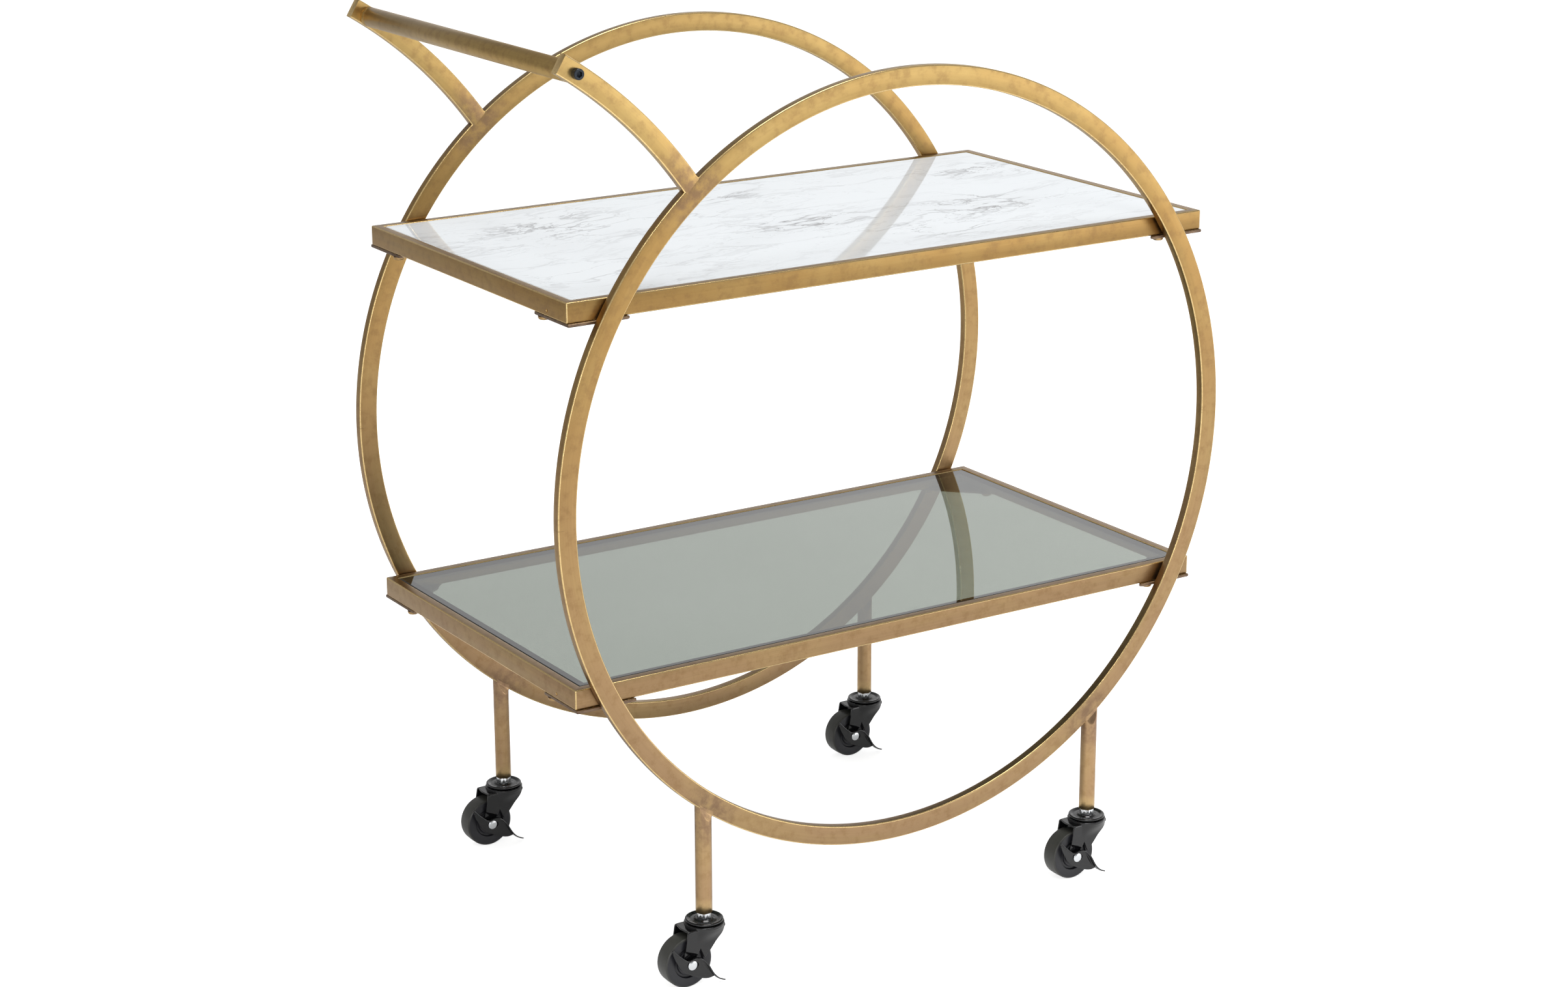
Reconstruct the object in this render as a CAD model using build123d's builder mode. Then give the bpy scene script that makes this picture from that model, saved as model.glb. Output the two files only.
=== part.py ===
from build123d import *
from math import cos, radians, sin, sqrt
import os

# A two tier bar cart. Two upright hoops of rectangular tube carry two framed
# trays, a push handle grows out of the left side of both hoops, and four legs with swivel
# casters stand under them. Millimetres. The origin is on the floor under the middle of the
# cart, X runs along the trays with the handle on the negative side, the front hoop is on the
# negative Y side and Z is up.

# Flat rectangular tube, used for the hoops, the handle arms and the tray rails
tube_depth = 19.0
tube_thickness = 9.5
tube_wall = 1.2

# Hoops
hoop_outer_diameter = 760.0
hoop_ground_clearance = 95.0
frame_depth = 414.0

# Trays, with their tops placed from the middle of the hoops
tray_end_inset = 20.0
hoop_to_tray_gap = 2.5
upper_tray_rise = 203.0
lower_tray_drop = 158.0
panel_thickness = 5.0
panel_side_gap = 1.0
panel_recess = 0.5
panel_edge_chamfer = 0.6
ledge_width = 10.0
ledge_thickness = 2.5

# Drain hole of the plating bath, in the outer face of each tray's left rail
drain_radius = 1.3
drain_from_corner = 36.0
drain_above_bottom = 5.0

# Triangular corner plates under the trays
plate_leg = 66.0
plate_thickness = 3.0

# Handle, whose arms curve round a centre beyond the hoops' left edge
handle_arc_radius = 442.5
handle_arc_beyond_hoop = 216.0
handle_arc_rise = 36.0
handle_root_angle = 30.0
handle_end_angle = 58.7
handle_screw_angle = 56.5
handle_bar_radius = 9.5
handle_thread_depth = 16.0
handle_screw_radius = 3.0
handle_screw_head_radius = 5.0
handle_screw_head_height = 6.0
handle_socket_width = 5.0
handle_socket_depth = 3.0

# Legs
leg_radius = 8.0
leg_spread = 461.0

# Casters, with every X taken from the swivel axis and the wheel trailing to negative X
caster_height = 70.0
stem_radius = 4.0
stem_thread_length = 18.0
stem_nut_width = 13.0
stem_nut_height = 6.0
cup_radius = 18.5
cup_roll = 1.0
race_radius = 19.4
race_height = 2.0
fork_sheet = 1.5
fork_top_drop = 11.5
fork_outer_half_width = 12.8
fork_flare_drop = 15.0
fork_flare_half_width = 16.6
fork_flare_half_length = 9.6
kingpin_nut_width = 13.0
kingpin_nut_height = 2.6
wheel_radius = 25.5
wheel_width = 18.0
wheel_trail = 22.5

# The fork's side before it is folded, from the swivel axis and from the fork's top
fork_strap_top = (-25.2, 0.0)
fork_strap_heel = (-28.4, -19.5)
fork_strap_toe = (-15.2, -25.8)
fork_notch = (-12.0, -19.0)
fork_lug_root = (-7.4, -30.2)
fork_brow_low = (-0.7, -22.9)
fork_brow_high = (15.6, -1.8)
fork_front = (15.6, 0.0)

# The lugs drawn in towards the wheel's sides, which hold the axle
lug_half_width = 11.4
lug_half_length = 5.0
lug_drop = 7.0
lug_top_drop = 17.5
lug_back = -28.0
lug_front = -8.8
lug_flare = 2.0
axle_radius = 3.0
axle_head_radius = 5.0
axle_head_height = 2.4
axle_tail_height = 1.6
lever_sheet = 1.2
lever_flange = 2.1
lever_pedal_width = 5.8
lever_slot_travel = 4.2
lever_slot_tilt = -15.0
lever_gap = 0.8
lever_crown_radius = 10.0
lever_belly_radius = 20.0

# The lever's outline, from the axle, with its cam end up to the left and its pedal to the right
lever_tip_high = (-20.6, 20.3)
lever_tip_low = (-21.0, 17.8)
lever_crook = (-8.8, 8.2)
lever_valley = (-4.4, 5.5)
lever_crown = (4.6, 8.2)
lever_shoulder = (13.0, 2.0)
lever_knee = (16.7, -3.0)
lever_heel = (23.6, -15.0)
lever_toe = (34.3, -22.8)
lever_sole = (17.5, -18.2)
lever_belly = (-10.2, -6.6)

# Clearances
seat_gap = 0.02
screw_gap = 0.1
turning_gap = 0.06
running_gap = 0.3

# Derived sizes
hoop_radius = hoop_outer_diameter / 2
hoop_centre_height = hoop_ground_clearance + hoop_radius
hoop_centre_y = (frame_depth - tube_thickness) / 2
hoop_inner_y = frame_depth / 2 - tube_thickness
tray_length = hoop_outer_diameter - 2 * tray_end_inset
tray_width = 2 * (hoop_inner_y - hoop_to_tray_gap)
upper_tray_height = hoop_centre_height + upper_tray_rise
lower_tray_height = hoop_centre_height - lower_tray_drop
handle_arc_centre_x = -(hoop_radius + handle_arc_beyond_hoop)
handle_arc_centre_height = hoop_centre_height + handle_arc_rise
handle_screw_x = handle_arc_centre_x + handle_arc_radius * cos(radians(handle_screw_angle))
handle_screw_height = handle_arc_centre_height + handle_arc_radius * sin(radians(handle_screw_angle))
leg_top_height = hoop_centre_height - sqrt(hoop_radius**2 - (leg_spread / 2 + leg_radius) ** 2)
fork_top = caster_height - fork_top_drop
race_top = fork_top + race_height
cup_bottom = race_top + running_gap
kingpin_nut_top = fork_top - fork_sheet - running_gap
lever_inner = fork_outer_half_width + lever_gap
lever_outer = lever_inner + lever_sheet

sides = {"front": -1, "rear": 1}
ends = {"left": -1, "right": 1}
trays = {"upper": upper_tray_height, "lower": lower_tray_height}
casters = [(side, end) for side in sides for end in ends]


def upright(x, y, height=0):
    """A plane that faces the front: its X runs along the cart, its Y goes up, its Z to the front."""
    return Plane(origin=(x, y, height), x_dir=(1, 0, 0), z_dir=(0, -1, 0))


def write(piece, name):
    """Labels a finished piece and writes its file."""
    piece.part.label = name
    export_step(piece.part, f"parts/{name}.step")


def caster_place(side, end):
    """The swivel axis of one caster, straight below the middle of a hoop's tube."""
    return ends[end] * leg_spread / 2, sides[side] * hoop_centre_y


def make_hoop(side):
    """One upright hoop of rectangular tube, closed all round and left solid inside."""
    y = sides[side] * hoop_centre_y
    face = upright(0, y)
    with BuildPart() as hoop:
        with BuildSketch(face):
            with Locations((0, hoop_centre_height)):
                Circle(hoop_radius)
                Circle(hoop_radius - tube_depth, mode=Mode.SUBTRACT)
        extrude(amount=tube_thickness / 2, both=True)
    write(hoop, f"{side}_hoop")


def make_handle_arm(side):
    """A curved tube, fitted to the hoop's rim, closed at its free end and drilled for the bar."""
    face = upright(0, sides[side] * hoop_centre_y)
    centre = (handle_arc_centre_x, handle_arc_centre_height)
    start, turn = handle_root_angle, handle_end_angle - handle_root_angle
    with BuildPart() as arm:
        with BuildSketch(face):
            with BuildLine():
                inside = CenterArc(centre, handle_arc_radius - tube_depth / 2, start, turn)
                outside = CenterArc(centre, handle_arc_radius + tube_depth / 2, start, turn)
                Line(inside @ 0, outside @ 0)
                Line(inside @ 1, outside @ 1)
            make_face()
            with Locations((0, hoop_centre_height)):
                Circle(hoop_radius, mode=Mode.SUBTRACT)
        extrude(amount=tube_thickness / 2, both=True)
        with BuildSketch(face):
            with Locations((handle_screw_x, handle_screw_height)):
                Circle(handle_screw_radius + screw_gap)
        extrude(amount=tube_thickness, both=True, mode=Mode.SUBTRACT)
    write(arm, f"{side}_handle_arm")


def make_handle_bar():
    """The round grip between the arms, threaded at both ends to take a screw through each arm."""
    face = upright(handle_screw_x, 0)
    with BuildPart() as bar:
        with BuildSketch(face):
            with Locations((0, handle_screw_height)):
                Circle(handle_bar_radius)
        extrude(amount=hoop_inner_y, both=True)
        for hand in (-1, 1):
            with BuildSketch(face.offset(hand * hoop_inner_y)):
                with Locations((0, handle_screw_height)):
                    Circle(handle_screw_radius + seat_gap)
            extrude(amount=-hand * (handle_thread_depth + screw_gap), mode=Mode.SUBTRACT)
    write(bar, "handle_bar")


def make_handle_screws():
    """Two socket head cap screws, driven through the arms into the ends of the grip."""
    face = upright(handle_screw_x, 0)
    with BuildPart() as screws:
        for hand in (-1, 1):
            seat = face.offset(hand * frame_depth / 2)
            with BuildSketch(seat):
                with Locations((0, handle_screw_height)):
                    Circle(handle_screw_head_radius)
            extrude(amount=hand * handle_screw_head_height)
            with BuildSketch(seat):
                with Locations((0, handle_screw_height)):
                    Circle(handle_screw_radius)
            extrude(amount=-hand * (tube_thickness + handle_thread_depth))
            with BuildSketch(seat.offset(hand * handle_screw_head_height)):
                with Locations((0, handle_screw_height)):
                    RegularPolygon(handle_socket_width / 2, 6, major_radius=False)
            extrude(amount=-hand * handle_socket_depth, mode=Mode.SUBTRACT)
    write(screws, "handle_screws")


def make_leg(side, end):
    """A round leg, shaped to the hoop's rim at its top and bushed for the caster's stem below."""
    x, y = caster_place(side, end)
    with BuildPart() as leg:
        with BuildSketch(Plane((x, y, caster_height))):
            Circle(leg_radius)
        extrude(amount=leg_top_height + leg_radius - caster_height)
        with BuildSketch(upright(0, y)):
            with Locations((0, hoop_centre_height)):
                Circle(hoop_radius)
        extrude(amount=2 * leg_radius, both=True, mode=Mode.SUBTRACT)
        with BuildSketch(Plane((x, y, caster_height))):
            Circle(stem_radius + seat_gap)
        extrude(amount=stem_thread_length + screw_gap, mode=Mode.SUBTRACT)
    write(leg, f"{side}_{end}_leg")


def rail_base(way, top):
    """A level plane for one rail: its X runs along the rail and the cart's middle is at plus Y."""
    along = {"front": (1, 0, 0), "right": (0, 1, 0), "rear": (-1, 0, 0), "left": (0, -1, 0)}[way]
    return Plane(origin=(0, 0, top - tube_depth), x_dir=along, z_dir=(0, 0, 1))


def rail_size(way):
    """Half of the rail's length, and how far its outer face stands from the cart's middle."""
    if way in sides:
        return tray_length / 2, tray_width / 2
    return tray_width / 2, tray_length / 2


def make_rail(tray, way):
    """One side of a tray frame: tube on edge, mitred at both ends."""
    base = rail_base(way, trays[tray])
    half_length, half_span = rail_size(way)
    start = base.from_local_coords(Vector(-half_length, 0, 0))
    section = Plane(origin=start, x_dir=base.y_dir, z_dir=base.x_dir)
    with BuildPart() as rail:
        with BuildSketch(section):
            with Locations((tube_thickness / 2 - half_span, tube_depth / 2)):
                Rectangle(tube_thickness, tube_depth)
                Rectangle(tube_thickness - 2 * tube_wall, tube_depth - 2 * tube_wall, mode=Mode.SUBTRACT)
        extrude(amount=2 * half_length)
        for hand in (-1, 1):
            corner = base.from_local_coords(Vector(hand * half_length, -half_span, 0))
            inward = base.x_dir * -hand - base.y_dir
            split(bisect_by=Plane(origin=corner, z_dir=inward), keep=Keep.TOP)
        if way == "left":
            place = Vector(half_length - drain_from_corner, -half_span, drain_above_bottom)
            with BuildSketch(Plane(origin=base.from_local_coords(place), z_dir=base.y_dir)):
                Circle(drain_radius)
            extrude(amount=2 * tube_wall, mode=Mode.SUBTRACT)
    write(rail, f"{tray}_{way}_rail")


def make_ledges(tray):
    """Flat strips welded inside the rails, on which the tray's panel lies."""
    top = trays[tray] - panel_recess - panel_thickness
    inner_length = tray_length - 2 * tube_thickness
    inner_width = tray_width - 2 * tube_thickness
    with BuildPart() as ledges:
        with BuildSketch(Plane.XY.offset(top - ledge_thickness)):
            for side in (-1, 1):
                with Locations((0, side * (inner_width - ledge_width) / 2)):
                    Rectangle(inner_length, ledge_width)
                with Locations((side * (inner_length - ledge_width) / 2, 0)):
                    Rectangle(ledge_width, inner_width - 2 * ledge_width - 2 * panel_side_gap)
        extrude(amount=ledge_thickness)
    write(ledges, f"{tray}_ledge_strips")


def make_panel(tray, name):
    """A loose glass panel that drops into the tray frame."""
    length = tray_length - 2 * tube_thickness - 2 * panel_side_gap
    width = tray_width - 2 * tube_thickness - 2 * panel_side_gap
    with BuildPart() as panel:
        with BuildSketch(Plane.XY.offset(trays[tray] - panel_recess - panel_thickness)):
            Rectangle(length, width)
        extrude(amount=panel_thickness)
        chamfer(panel.faces().sort_by(Axis.Z)[-1].edges(), panel_edge_chamfer)
    write(panel, name)


def make_corner_plate(tray, side, end):
    """A triangular plate under a tray corner, fixed to two rails and welded to the hoop."""
    x, y = ends[end] * tray_length / 2, sides[side] * hoop_inner_y
    along, across = -ends[end] * plate_leg, -sides[side] * plate_leg
    with BuildPart() as plate:
        with BuildSketch(Plane.XY.offset(trays[tray] - tube_depth)):
            Polygon((x, y), (x + along, y), (x, y + across), align=None)
        extrude(amount=-plate_thickness)
    write(plate, f"{tray}_{side}_{end}_corner_plate")


def make_caster_stems():
    """Threaded stem with its hexagon, and below the fork a kingpin nut, for each caster."""
    with BuildPart() as stems:
        for side, end in casters:
            x, y = caster_place(side, end)
            with BuildSketch(Plane((x, y, kingpin_nut_top))):
                Circle(stem_radius)
            extrude(amount=caster_height + stem_thread_length - kingpin_nut_top)
            with BuildSketch(Plane((x, y, caster_height))):
                RegularPolygon(stem_nut_width / 2, 6, major_radius=False)
            extrude(amount=-stem_nut_height)
            with BuildSketch(Plane((x, y, kingpin_nut_top))):
                RegularPolygon(kingpin_nut_width / 2, 6, major_radius=False)
            extrude(amount=-kingpin_nut_height)
    write(stems, "caster_stems")


def make_caster_cups():
    """The fixed upper race of each caster: a shallow cup clamped under the stem's hexagon."""
    with BuildPart() as cups:
        for side, end in casters:
            x, y = caster_place(side, end)
            with BuildSketch(upright(x, y)):
                Polygon(
                    (stem_radius + seat_gap, cup_bottom),
                    (cup_radius - cup_roll, cup_bottom),
                    (cup_radius, caster_height - stem_nut_height),
                    (stem_radius + seat_gap, caster_height - stem_nut_height),
                    align=None,
                )
            revolve(axis=Axis((x, y, 0), (0, 0, 1)))
    write(cups, "caster_race_cups")


def make_fork(side, end):
    """A pressed sheet fork: a round race on top, flared sides and inset lugs for the axle."""
    x, y = caster_place(side, end)
    face = upright(x, y)
    low = wheel_radius
    under_top = fork_top - fork_sheet
    inner_half_width = fork_outer_half_width - fork_sheet
    blank = (fork_strap_top, fork_strap_heel, fork_strap_toe, fork_notch)
    blank += (fork_lug_root, fork_brow_low, fork_brow_high, fork_front)
    with BuildPart() as fork:
        # The folded blank with its sides flared out under the race, looking along the cart
        with BuildSketch(Plane(origin=(x, y, 0), x_dir=(0, 1, 0), z_dir=(1, 0, 0))):
            with Locations((0, (fork_top + low) / 2)):
                Rectangle(2 * fork_outer_half_width, fork_top - low)
        extrude(amount=2 * race_radius, both=True)
        for inset, mode in ((0, Mode.ADD), (fork_sheet, Mode.SUBTRACT)):
            waist = fork_outer_half_width - inset
            brim = fork_flare_half_width - inset
            with BuildSketch(Plane(origin=(x, y, 0), x_dir=(0, 1, 0), z_dir=(1, 0, 0))):
                Polygon(
                    (-waist, fork_top - fork_flare_drop),
                    (waist, fork_top - fork_flare_drop),
                    (brim, fork_top - inset),
                    (-brim, fork_top - inset),
                    align=None,
                )
            extrude(amount=fork_flare_half_length - inset, both=True, mode=mode)
        with BuildSketch(face):
            with Locations((0, (under_top + low) / 2)):
                Rectangle(5 * race_radius, under_top - low)
        extrude(amount=inner_half_width, both=True, mode=Mode.SUBTRACT)
        # The blank seen from the side, with the notch that splits off the rear strap
        with BuildSketch(face):
            Polygon(*[(along, fork_top + rise) for along, rise in blank], align=None)
        extrude(amount=2 * race_radius, both=True, mode=Mode.INTERSECT)
        with BuildSketch(Plane((x, y, fork_top))):
            Circle(race_radius)
        extrude(amount=race_height)
        with BuildSketch(Plane((x, y, under_top))):
            Circle(stem_radius + turning_gap)
        extrude(amount=race_height + fork_sheet, mode=Mode.SUBTRACT)
        for hand in (-1, 1):
            with BuildSketch(face.offset(hand * lug_half_width)):
                Polygon(
                    (lug_back, fork_top - lug_top_drop),
                    (lug_front, fork_top - lug_top_drop),
                    (lug_front, fork_top + fork_lug_root[1]),
                    (lug_half_length - wheel_trail, wheel_radius - lug_drop),
                    (-lug_half_length - wheel_trail, wheel_radius - lug_drop),
                    (lug_back - lug_flare, fork_top + fork_lug_root[1]),
                    align=None,
                )
                with Locations((-wheel_trail, wheel_radius)):
                    Circle(axle_radius + seat_gap, mode=Mode.SUBTRACT)
            extrude(amount=-hand * fork_sheet)
    write(fork, f"{side}_{end}_caster_fork")


def make_axle(side, end):
    """A rivet through fork, wheel and brake lever, with its large head outside the lever."""
    x, y = caster_place(side, end)
    face = upright(x - wheel_trail, y, wheel_radius)
    head = lever_outer + 2 * turning_gap
    with BuildPart() as axle:
        with BuildSketch(face.offset(-lug_half_width - axle_tail_height)):
            Circle(axle_radius)
        extrude(amount=head + lug_half_width + axle_tail_height)
        with BuildSketch(face.offset(head)):
            Circle(axle_head_radius)
        extrude(amount=axle_head_height)
    write(axle, f"{side}_{end}_caster_axle")


def make_wheel(side, end):
    """A solid rubber wheel with a plain bore, which leaves room for the lugs at both sides."""
    x, y = caster_place(side, end)
    with BuildPart() as wheel:
        with BuildSketch(upright(x - wheel_trail, y, wheel_radius)):
            Circle(wheel_radius)
            Circle(axle_radius + turning_gap, mode=Mode.SUBTRACT)
        extrude(amount=wheel_width / 2, both=True)
    write(wheel, f"{side}_{end}_caster_wheel")


def make_lever(side, end):
    """The brake rocker: a cam plate on the axle, its top edge turned out and widened into a pedal."""
    x, y = caster_place(side, end)
    face = upright(x - wheel_trail, y, wheel_radius)
    with BuildPart() as lever:
        with BuildSketch(face.offset(lever_inner)):
            with BuildLine():
                Polyline(lever_tip_high, lever_crook, lever_valley)
                FilletPolyline(lever_valley, lever_crown, lever_shoulder, radius=lever_crown_radius)
                Polyline(lever_shoulder, lever_knee, lever_heel, lever_sole)
                FilletPolyline(lever_sole, lever_belly, lever_tip_low, radius=lever_belly_radius)
                Line(lever_tip_low, lever_tip_high)
            make_face()
            with Locations(Rotation(0, 0, lever_slot_tilt) * Location((lever_slot_travel / 2, 0))):
                SlotCenterToCenter(lever_slot_travel, 2 * (axle_radius + turning_gap), mode=Mode.SUBTRACT)
        extrude(amount=lever_sheet)
        # The rim along the top edge, turned away from the wheel, which runs on as the pedal's strip
        with BuildSketch(face.offset(lever_inner)):
            with BuildLine():
                Polyline(lever_tip_high, lever_crook, lever_valley)
                FilletPolyline(lever_valley, lever_crown, lever_shoulder, radius=lever_crown_radius)
                Polyline(lever_shoulder, lever_knee, lever_heel, lever_toe)
                offset(amount=-lever_sheet, side=Side.RIGHT, kind=Kind.INTERSECTION)
            make_face()
        extrude(amount=lever_sheet + lever_flange)
        # The pedal, wider than the rim from the heel to the toe
        with BuildSketch(face.offset(lever_inner)):
            with BuildLine():
                Line(lever_heel, lever_toe)
                offset(amount=-lever_sheet, side=Side.RIGHT)
            make_face()
        extrude(amount=lever_pedal_width)
    write(lever, f"{side}_{end}_brake_lever")


os.makedirs("parts", exist_ok=True)

for side in sides:
    make_hoop(side)
    make_handle_arm(side)
make_handle_bar()
make_handle_screws()

for tray in trays:
    for way in ("front", "rear", "left", "right"):
        make_rail(tray, way)
    make_ledges(tray)
    for side in sides:
        for end in ends:
            make_corner_plate(tray, side, end)
make_panel("upper", "marble_panel")
make_panel("lower", "smoked_glass_panel")

make_caster_stems()
make_caster_cups()
for side, end in casters:
    make_leg(side, end)
    make_fork(side, end)
    make_axle(side, end)
    make_wheel(side, end)
    make_lever(side, end)
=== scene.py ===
import math

import bmesh
import bpy
from mathutils import Matrix, Vector


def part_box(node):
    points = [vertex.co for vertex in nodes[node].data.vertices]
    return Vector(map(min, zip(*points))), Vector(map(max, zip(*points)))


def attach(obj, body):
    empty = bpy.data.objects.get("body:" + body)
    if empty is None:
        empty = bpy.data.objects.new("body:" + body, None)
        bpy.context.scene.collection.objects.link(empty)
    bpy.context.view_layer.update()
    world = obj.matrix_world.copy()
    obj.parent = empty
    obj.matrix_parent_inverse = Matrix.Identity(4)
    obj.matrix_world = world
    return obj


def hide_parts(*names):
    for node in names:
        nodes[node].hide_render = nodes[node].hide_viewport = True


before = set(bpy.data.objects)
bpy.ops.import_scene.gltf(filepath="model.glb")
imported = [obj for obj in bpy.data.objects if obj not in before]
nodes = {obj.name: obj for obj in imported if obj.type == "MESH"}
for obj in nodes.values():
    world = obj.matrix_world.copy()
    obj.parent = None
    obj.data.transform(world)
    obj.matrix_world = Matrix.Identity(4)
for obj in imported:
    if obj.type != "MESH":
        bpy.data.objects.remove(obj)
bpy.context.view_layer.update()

MM = 0.001

# Sizes of the part, in metres
TUBE_DEPTH, TUBE_THICKNESS = 19.0 * MM, 9.5 * MM
HOOP_RADIUS = 380.0 * MM
HOOP_CENTRE = Vector((0.0, 0.0, 475.0 * MM))
HOOP_Y = 202.25 * MM
ARC_RADIUS = 442.5 * MM
ARC_CENTRE = Vector((-596.0 * MM, 0.0, 511.0 * MM))
ARC_START, ARC_END = math.radians(35.2), math.radians(58.7)
SCREW_ANGLE = math.radians(56.5)
SCREW_X = ARC_CENTRE.x + ARC_RADIUS * math.cos(SCREW_ANGLE)
SCREW_Z = ARC_CENTRE.z + ARC_RADIUS * math.sin(SCREW_ANGLE)
LEG_RADIUS = 8.0 * MM
LEG_X = 230.5 * MM
LEG_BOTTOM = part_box("front_left_leg")[0][2]
TRAY_HALF_LENGTH = 360.0 * MM
TRAY_HALF_WIDTH = 195.0 * MM
TRAY_TOPS = {tray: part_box(f"{tray}_front_rail")[1][2] for tray in ("upper", "lower")}
PLATE_LEG, PLATE_THICKNESS = 66.0 * MM, 3.0 * MM
DRAIN_FROM_CORNER, DRAIN_ABOVE_BOTTOM = 36.0 * MM, 5.0 * MM
ARRIS = 1.3 * MM
ROOT_OVERLAP, ROOT_PROUD, ROOT_SUNK = 3.5 * MM, 1.007, 0.96
HOOP_SEGMENTS, ARM_SEGMENTS, LEG_FACES = 321, 65, 64
LEG_CHAMFER, LEG_FILLET, LEG_GROUND = 0.35 * MM, 2.2 * MM, 8.0 * MM
# The middles and sizes of the heat stains on the brass
ARM_ROOT_X, ARM_ROOT_Z, ARM_STAIN = -0.243, 0.769, 0.05
LEG_TOP_Z, LEG_STAIN = 0.17, 0.045
SIDES = {"front": -1, "rear": 1}
ENDS = {"left": -1, "right": 1}
SIDEWAYS = Matrix.Rotation(math.radians(90), 4, "X")


# Node trees

class Link:
    """A socket's value. Sums written on it add Math nodes."""

    def __init__(self, graph, socket):
        self.graph, self.socket = graph, socket

    def of(self, name):
        return Link(self.graph, self.graph.pick(self.socket.node.outputs, name))

    def math(self, operation, *others):
        return self.graph.maths(operation, self, *others)

    def __add__(self, other):
        return self.math("ADD", other)

    def __sub__(self, other):
        return self.math("SUBTRACT", other)

    def __mul__(self, other):
        return self.math("MULTIPLY", other)

    def __truediv__(self, other):
        return self.math("DIVIDE", other)

    def __pow__(self, other):
        return self.math("POWER", other)

    __radd__, __rmul__ = __add__, __mul__

    def __rsub__(self, other):
        return self.graph.maths("SUBTRACT", other, self)

    def __rtruediv__(self, other):
        return self.graph.maths("DIVIDE", other, self)

    def __abs__(self):
        return self.math("ABSOLUTE")

    def clamp(self):
        return self.graph.node("ShaderNodeClamp", {}, {"Value": self})

    def step(self, low, high):
        """0 below low, 1 above high, smooth between."""
        sockets = {"Value": self, "From Min": low, "From Max": high}
        return self.graph.node("ShaderNodeMapRange", {"interpolation_type": "SMOOTHSTEP"}, sockets)


class Graph:
    """A node tree of a material, the world or a shape."""

    def __init__(self, tree):
        self.tree = tree

    @staticmethod
    def pick(sockets, key):
        if isinstance(key, int):
            return sockets[key]
        return next(s for s in sockets if s.name == key and s.enabled)

    def node(self, kind, settings=None, sockets=None):
        """Any node: its settings go in first, then the values or links of its sockets."""
        made = self.tree.nodes.new(kind)
        for key, value in (settings or {}).items():
            setattr(made, key, value)
        for key, value in (sockets or {}).items():
            target = self.pick(made.inputs, key)
            if isinstance(value, Link):
                self.tree.links.new(value.socket, target)
            elif target.type == "RGBA" and len(value) == 3:
                target.default_value = (*value, 1.0)
            else:
                target.default_value = value
        out = next((s for s in made.outputs if s.enabled), None)
        return Link(self, out) if out else made

    def maths(self, operation, *terms):
        return self.node("ShaderNodeMath", {"operation": operation}, dict(enumerate(terms)))

    def mix(self, factor, a, b):
        """Colour a at factor 0, colour b at factor 1."""
        return self.node("ShaderNodeMix", {"data_type": "RGBA"}, {"Factor": factor, "A": a, "B": b})

    def shade(self, colour, value):
        """A colour made lighter or darker by a number."""
        return self.node("ShaderNodeVectorMath", {"operation": "SCALE"}, {0: colour, "Scale": value})

    def vector(self, x, y, z):
        return self.node("ShaderNodeCombineXYZ", {}, {"X": x, "Y": y, "Z": z})

    def split(self, vector):
        """A vector's three numbers."""
        parts = self.node("ShaderNodeSeparateXYZ", {}, {"Vector": vector})
        return parts, parts.of("Y"), parts.of("Z")

    def distance(self, a, b):
        return self.node("ShaderNodeVectorMath", {"operation": "DISTANCE"}, {0: a, 1: b}).of("Value")

    def noise(self, vector, scale, detail, roughness, w=None):
        """Noise in three dimensions, or with w in four."""
        sockets = {"Vector": vector, "Scale": scale, "Detail": detail, "Roughness": roughness}
        if w is not None:
            sockets["W"] = w
        return self.node("ShaderNodeTexNoise", {"noise_dimensions": "3D" if w is None else "4D"}, sockets)

    def bump(self, strength, height, depth=0.0002, **sockets):
        heights = {"Strength": strength, "Distance": depth, "Height": height}
        return self.node("ShaderNodeBump", {}, heights | sockets)

    def place(self):
        """The surface's place in the shared frame."""
        return self.node("ShaderNodeTexCoord").of("Object")

    def arris(self):
        """1 where the mesh marks an arris, worn and lit by a painted highlight, or the wheel's tread, and 0
        elsewhere.
        """
        return self.node("ShaderNodeAttribute", {"attribute_name": "arris"}).of("Fac")


def material(name):
    made = bpy.data.materials.new(name)
    made.use_nodes = True
    made.node_tree.nodes.clear()
    return made, Graph(made.node_tree)


def surface(graph, shader):
    graph.node("ShaderNodeOutputMaterial", {}, {"Surface": shader})


def finished(made, graph, **sockets):
    """The material with its finish, from socket names written with underscores."""
    values = {name.replace("_", " "): value for name, value in sockets.items()}
    surface(graph, graph.node("ShaderNodeBsdfPrincipled", {}, values))
    return made


# Finishes

BRASS = (0.42, 0.254, 0.088)
BRASS_PALE = (0.53, 0.39, 0.155)
BRASS_BROWN = (0.27, 0.155, 0.068)
BRASS_ROSE = (0.4, 0.258, 0.138)
BRASS_PURPLE = (0.2, 0.125, 0.09)
# The colour of the painted shade on upward faces of the brass
BRASS_TOP_SHADE = (0.16, 0.108, 0.07)
BRASS_ARRIS = (0.9, 0.66, 0.31)


# How far upward faces of the brass are darkened by painted shade
BRASS_TOP_SHADE_AMOUNT = 0.3
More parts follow.
